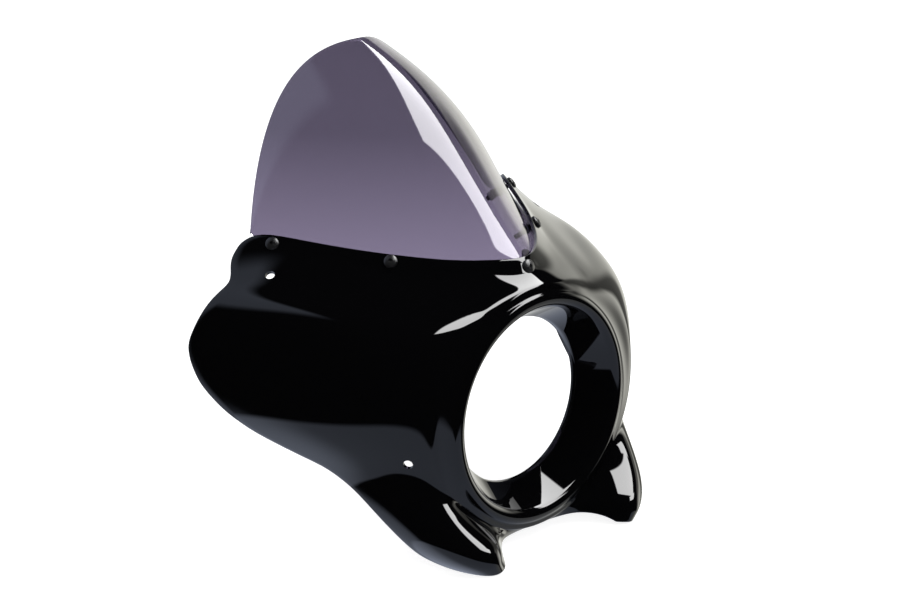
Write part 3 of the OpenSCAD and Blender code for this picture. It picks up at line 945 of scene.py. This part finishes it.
# The camera's own directions, and its place along them in metres from the lip's front plane.
CAMERA_BACK = Vector((-0.6594, -0.6876, 0.3040))
CAMERA_RIGHT = Vector((0.7218, -0.6921, 0.0))
CAMERA_UP = Vector((0.2104, 0.2194, 0.9527))
CAMERA_AWAY, CAMERA_ASIDE, CAMERA_ABOVE = 2.365, -0.088, 0.103
LENS, SENSOR = 100, 36

# The studio, by the inward normals of planes through the object that bound the backdrop, the
# softbox and the low strip, and by the slope and place of the table's edge.
BACKDROP = (0.5, 1.0, 0.15)
BACKDROP_TOP = (-1.56, 1.0, -0.42)
TABLE_SLOPE = (-0.036, 0.281, 0.0)
TABLE_EDGE = 0.588
SOFTBOX = ((1.0, -1.0, -0.36), (-1.0, 0.0, 1.1), (0.55, 1.0, 0.5), (0.0, -1.0, 0.6), (0.0, 0.0, 1.0))
LOW_STRIP = ((1.0, 0.0, -0.5), (-1.0, 0.0, 1.3), (0.0, 1.0, 1.4), (0.0, -1.0, -0.85), (0.0, 0.0, 1.0))
# Spans of a direction's part along an axis or normal over which a light comes in.
BACKDROP_EDGE, BACKDROP_LEFT, BACKDROP_HEAD = (0.0, 0.22), (0.12, 0.3), (0.42, 0.32)
BRIGHT_SPAN, BRIGHT_GAIN = (0.6, 0.82), 0.6
CORNER_SPAN, CORNER_LEVEL = (0.95, 0.89), 0.25
TABLE_SOFT, TABLE_REAR = 0.02, (0.9, 1.3)
PANEL_RIGHT, PANEL_HEAD, PANEL_FOOT, PANEL_REAR = (0.82, 0.98), (0.3, 0.1), (-0.5, -0.35), (0.05, -0.15)
SOFTBOX_EDGE, TINT_SPAN = (0.0, 0.03), (0.3, 0.9)
# Level at which the camera sees the surroundings, just past white.
WHITE_GROUND = 1.15
# The lamp at the softbox's place: direction, distance, size and power.
SOFTBOX_WAY, SOFTBOX_AWAY = (0.36, -0.2, 0.9), 2.4
SOFTBOX_SIZE, SOFTBOX_POWER = (1.6, 1.9), 26
FLOOR_HALF, FLOOR_GAP = 9, 0.0005


def make_camera():
    """The camera, with a long lens."""
    data = bpy.data.cameras.new("camera")
    data.lens = LENS
    data.sensor_width = SENSOR
    data.clip_start, data.clip_end = 0.05, 60
    camera = add_object("camera", data)
    place = CAMERA_AWAY * CAMERA_BACK + CAMERA_ASIDE * CAMERA_RIGHT + CAMERA_ABOVE * CAMERA_UP
    place += Vector((0, LIP_Y * MM, 0))
    turn = Matrix((CAMERA_RIGHT.normalized(), CAMERA_UP.normalized(), CAMERA_BACK.normalized())).transposed()
    camera.matrix_world = Matrix.Translation(place) @ turn.to_4x4()
    bpy.context.scene.camera = camera


def make_softbox():
    """The lamp that shades the object; gloss and the camera see the world's softbox instead."""
    data = bpy.data.lights.new("softbox", "AREA")
    data.shape = "RECTANGLE"
    data.size, data.size_y = SOFTBOX_SIZE
    data.energy = SOFTBOX_POWER
    light = add_object("softbox", data)
    light.location = SOFTBOX_AWAY * Vector(SOFTBOX_WAY)
    light.rotation_mode = "QUATERNION"
    light.rotation_quaternion = (-Vector(SOFTBOX_WAY)).to_track_quat("-Z", "Y")
    light.visible_glossy = False
    light.visible_camera = False
    light.visible_transmission = False


def maths(tree, kind, first, second):
    """A Math node on two values, each a socket or a number."""
    node = tree.nodes.new("ShaderNodeMath")
    node.operation = kind
    for socket, value in zip(node.inputs, (first, second)):
        if isinstance(value, (int, float)):
            socket.default_value = value
        else:
            tree.links.new(value, socket)
    return node.outputs["Value"]


def times(tree, first, *others):
    """The product of values, each a socket or a number."""
    for other in others:
        first = maths(tree, "MULTIPLY", first, other)
    return first


def along(tree, way, axis):
    """How far a direction points along an axis."""
    node = tree.nodes.new("ShaderNodeVectorMath")
    node.operation = "DOT_PRODUCT"
    tree.links.new(way, node.inputs[0])
    node.inputs[1].default_value = axis
    return node.outputs["Value"]


def rise(tree, value, low, high):
    """Goes smoothly from 0 at low to 1 at high, which may be the smaller."""
    span = tree.nodes.new("ShaderNodeMapRange")
    span.interpolation_type = "SMOOTHSTEP"
    span.inputs["From Min"].default_value = low
    span.inputs["From Max"].default_value = high
    tree.links.new(value, span.inputs["Value"])
    return span.outputs["Result"]


def seen_directly(tree, path):
    """1 where the camera looks, also through the screen."""
    return maths(tree, "MAXIMUM", path.outputs["Is Camera Ray"], path.outputs["Is Transmission Ray"])


def make_floor(finish, level):
    """A pale floor that shows white to the camera and keeps a soft shadow."""
    h = FLOOR_HALF
    mesh = bpy.data.meshes.new("floor")
    mesh.from_pydata([(-h, -h, level), (h, -h, level), (h, h, level), (-h, h, level)], [], [(0, 1, 2, 3)])
    floor = add_object("floor", mesh)
    material = bpy.data.materials.new("pale_floor")
    material.use_nodes = True
    tree = material.node_tree
    tree.nodes.clear()
    out = tree.nodes.new("ShaderNodeOutputMaterial")
    lit = tree.nodes.new("ShaderNodeBsdfDiffuse")
    lit.inputs["Color"].default_value = finish.floor_colour
    glow = tree.nodes.new("ShaderNodeEmission")
    add = tree.nodes.new("ShaderNodeAddShader")
    seen = seen_directly(tree, tree.nodes.new("ShaderNodeLightPath"))
    tree.links.new(times(tree, seen, finish.floor_glow), glow.inputs["Strength"])
    tree.links.new(lit.outputs["BSDF"], add.inputs[0])
    tree.links.new(glow.outputs["Emission"], add.inputs[1])
    tree.links.new(add.outputs["Shader"], out.inputs["Surface"])
    mesh.materials.append(material)
    floor.visible_glossy = False


def within(tree, way, planes, edge):
    """1 where the direction lies inside every plane."""
    return times(tree, 1.0, *[rise(tree, along(tree, way, plane), *edge) for plane in planes])


def backdrop_level(tree, way):
    """The backdrop behind the object: cut off above, brighter to the right, dim in its corner."""
    height, right = along(tree, way, (0, 0, 1)), along(tree, way, (1, 0, 0))
    reach = maths(tree, "MAXIMUM", rise(tree, along(tree, way, BACKDROP_TOP), *BACKDROP_LEFT),
                  rise(tree, height, *BACKDROP_HEAD))
    brighter = maths(tree, "ADD", 1.0, times(tree, rise(tree, right, *BRIGHT_SPAN), BRIGHT_GAIN))
    corner = times(tree, rise(tree, right, *CORNER_SPAN), 1 - CORNER_LEVEL)
    dimmer = maths(tree, "ADD", CORNER_LEVEL, corner)
    return times(tree, within(tree, way, [BACKDROP], BACKDROP_EDGE), reach, brighter, dimmer)


def table_level(tree, way):
    """The pale table below, up to twice as bright towards the rear."""
    height, rear = along(tree, way, (0, 0, 1)), along(tree, way, (0, 1, 0))
    slope = maths(tree, "ADD", height, along(tree, way, TABLE_SLOPE))
    table = rise(tree, slope, -TABLE_EDGE + TABLE_SOFT, -TABLE_EDGE - TABLE_SOFT)
    far = rise(tree, maths(tree, "SUBTRACT", rear, height), *TABLE_REAR)
    return times(tree, table, maths(tree, "ADD", 1.0, far))


def panel_level(tree, way):
    """The bright panel on the right."""
    height, rear = along(tree, way, (0, 0, 1)), along(tree, way, (0, 1, 0))
    return times(tree, rise(tree, along(tree, way, (1, 0, 0)), *PANEL_RIGHT), rise(tree, height, *PANEL_HEAD),
                 rise(tree, height, *PANEL_FOOT), rise(tree, rear, *PANEL_REAR))


def room_level(tree, way, finish):
    """How bright the room is in each direction, with a dark front and ceiling."""
    room = maths(tree, "MAXIMUM", times(tree, backdrop_level(tree, way), finish.backdrop),
                 times(tree, table_level(tree, way), finish.table))
    return maths(tree, "ADD", room, times(tree, panel_level(tree, way), finish.side_panel))


def softbox_level(tree, way, finish):
    """The softbox and the low strip, each bounded by planes."""
    box = maths(tree, "MAXIMUM", within(tree, way, SOFTBOX, SOFTBOX_EDGE),
                within(tree, way, LOW_STRIP, SOFTBOX_EDGE))
    return times(tree, box, finish.softbox)


def make_world(finish):
    """Gloss sees a tinted room and a white softbox, the camera sees white, and everything else
    gets an even light."""
    world = bpy.data.worlds.new("studio")
    bpy.context.scene.world = world
    world.use_nodes = True
    tree = world.node_tree
    tree.nodes.clear()
    out = tree.nodes.new("ShaderNodeOutputWorld")
    walls = tree.nodes.new("ShaderNodeBackground")
    white = tree.nodes.new("ShaderNodeBackground")
    add = tree.nodes.new("ShaderNodeAddShader")
    way = tree.nodes.new("ShaderNodeTexCoord").outputs["Generated"]
    path = tree.nodes.new("ShaderNodeLightPath")
    glossy = path.outputs["Is Glossy Ray"]
    even = times(tree, maths(tree, "SUBTRACT", 1.0, glossy), finish.room)
    level = maths(tree, "ADD", times(tree, glossy, softbox_level(tree, way, finish)), even)
    level = maths(tree, "MAXIMUM", level, times(tree, seen_directly(tree, path), WHITE_GROUND))
    white.inputs["Color"].default_value = (1, 1, 1, 1)
    tree.links.new(level, white.inputs["Strength"])
    tint = tree.nodes.new("ShaderNodeMix")
    tint.data_type = "RGBA"
    tint.inputs["A"].default_value = finish.cool
    tint.inputs["B"].default_value = finish.warm
    tree.links.new(rise(tree, along(tree, way, (1, 0, 0)), *TINT_SPAN), tint.inputs["Factor"])
    tree.links.new(tint.outputs["Result"], walls.inputs["Color"])
    tree.links.new(times(tree, glossy, room_level(tree, way, finish)), walls.inputs["Strength"])
    tree.links.new(walls.outputs["Background"], add.inputs[0])
    tree.links.new(white.outputs["Background"], add.inputs[1])
    tree.links.new(add.outputs["Shader"], out.inputs["Surface"])


# Operators


def all_fixings(kind):
    """The CAD nodes of one kind of fixing."""
    return [f"screen_{kind}_{where}" for where in
            ("centre", "left_inner", "left_outer", "right_inner", "right_outer")]


class COWL_OT_shell(bpy.types.Operator):
    """Build the moulded shell with its collar, lip and trimmed edge"""

    bl_idname = "cowl.shell"
    bl_label = "Moulded shell"

    def execute(self, context):
        scene = context.scene
        shell = build_shell(scene.cowl_sizes)
        shell.data.materials.append(gloss_black(scene.cowl_finish))
        shell.data.materials.append(mould_back(scene.cowl_finish))
        shell.data.set_sharp_from_angle(angle=math.radians(SHELL_SHARP))
        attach(shell, "root")
        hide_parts("cowl_shell")
        return {"FINISHED"}


class COWL_OT_screen(bpy.types.Operator):
    """Build the smoked windscreen"""

    bl_idname = "cowl.screen"
    bl_label = "Windscreen"

    def execute(self, context):
        scene = context.scene
        screen = build_screen(scene.cowl_sizes)
        screen.data.materials.append(smoked_acrylic(scene.cowl_finish))
        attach(screen, "root")
        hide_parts("windscreen")
        return {"FINISHED"}


class COWL_OT_fixings(bpy.types.Operator):
    """Build the five screws with their rubber washers and nuts"""

    bl_idname = "cowl.fixings"
    bl_label = "Screws, washers and nuts"

    def execute(self, context):
        sizes, finish = context.scene.cowl_sizes, context.scene.cowl_finish
        seats = [(sizes.wall - SEAT_SINK) / MM for _ in SCREW_X]
        washers = [washer_top(x, sizes) - WASHER_THICK / MM for x in SCREW_X]
        nuts = [depth - (NUT_GAP + NUT_THICK) / MM for depth in washers]
        made = {
            "screw": place_fixings(
                "screen_screws", screw_form(sizes), seats, black_steel(finish), SCREW_TURN
            ),
            "washer": place_fixings("screen_washers", washer_form(sizes), washers, black_rubber(finish), 0),
            "nut": place_fixings("screen_nuts", nut_form(sizes), nuts, zinc_plate(finish), NUT_TURN),
        }
        for kind, thing in made.items():
            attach(thing, "root")
            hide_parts(*all_fixings(kind))
        return {"FINISHED"}


class COWL_OT_stage(bpy.types.Operator):
    """Set the pale floor, the studio light and the camera"""

    bl_idname = "cowl.stage"
    bl_label = "Stage"

    def execute(self, context):
        finish = context.scene.cowl_finish
        make_camera()
        make_floor(finish, CAD_BOX[0].z - FLOOR_GAP)
        make_world(finish)
        make_softbox()
        context.scene.view_settings.view_transform = "Standard"
        return {"FINISHED"}


class COWL_PT_parts(bpy.types.Panel):
    """The cowl's sizes, colours and pieces"""

    bl_idname = "COWL_PT_parts"
    bl_label = "Headlight cowl"
    bl_space_type = "VIEW_3D"
    bl_region_type = "UI"
    bl_category = "Cowl"

    def draw(self, context):
        scene = context.scene
        for group in (scene.cowl_sizes, scene.cowl_finish):
            column = self.layout.column(align=True)
            for name in group.__annotations__:
                column.prop(group, name)
        for operator in (COWL_OT_shell, COWL_OT_screen, COWL_OT_fixings, COWL_OT_stage):
            self.layout.operator(operator.bl_idname)


CLASSES = (CowlSizes, CowlFinish, COWL_OT_shell, COWL_OT_screen, COWL_OT_fixings, COWL_OT_stage,
           COWL_PT_parts)


def register():
    for cls in CLASSES:
        bpy.utils.register_class(cls)
    bpy.types.Scene.cowl_sizes = bpy.props.PointerProperty(type=CowlSizes)
    bpy.types.Scene.cowl_finish = bpy.props.PointerProperty(type=CowlFinish)


def unregister():
    del bpy.types.Scene.cowl_finish
    del bpy.types.Scene.cowl_sizes
    for cls in reversed(CLASSES):
        bpy.utils.unregister_class(cls)


def main():
    register()
    bpy.ops.cowl.stage()
    bpy.ops.cowl.shell()
    bpy.ops.cowl.screen()
    bpy.ops.cowl.fixings()


if __name__ == "__main__":
    main()
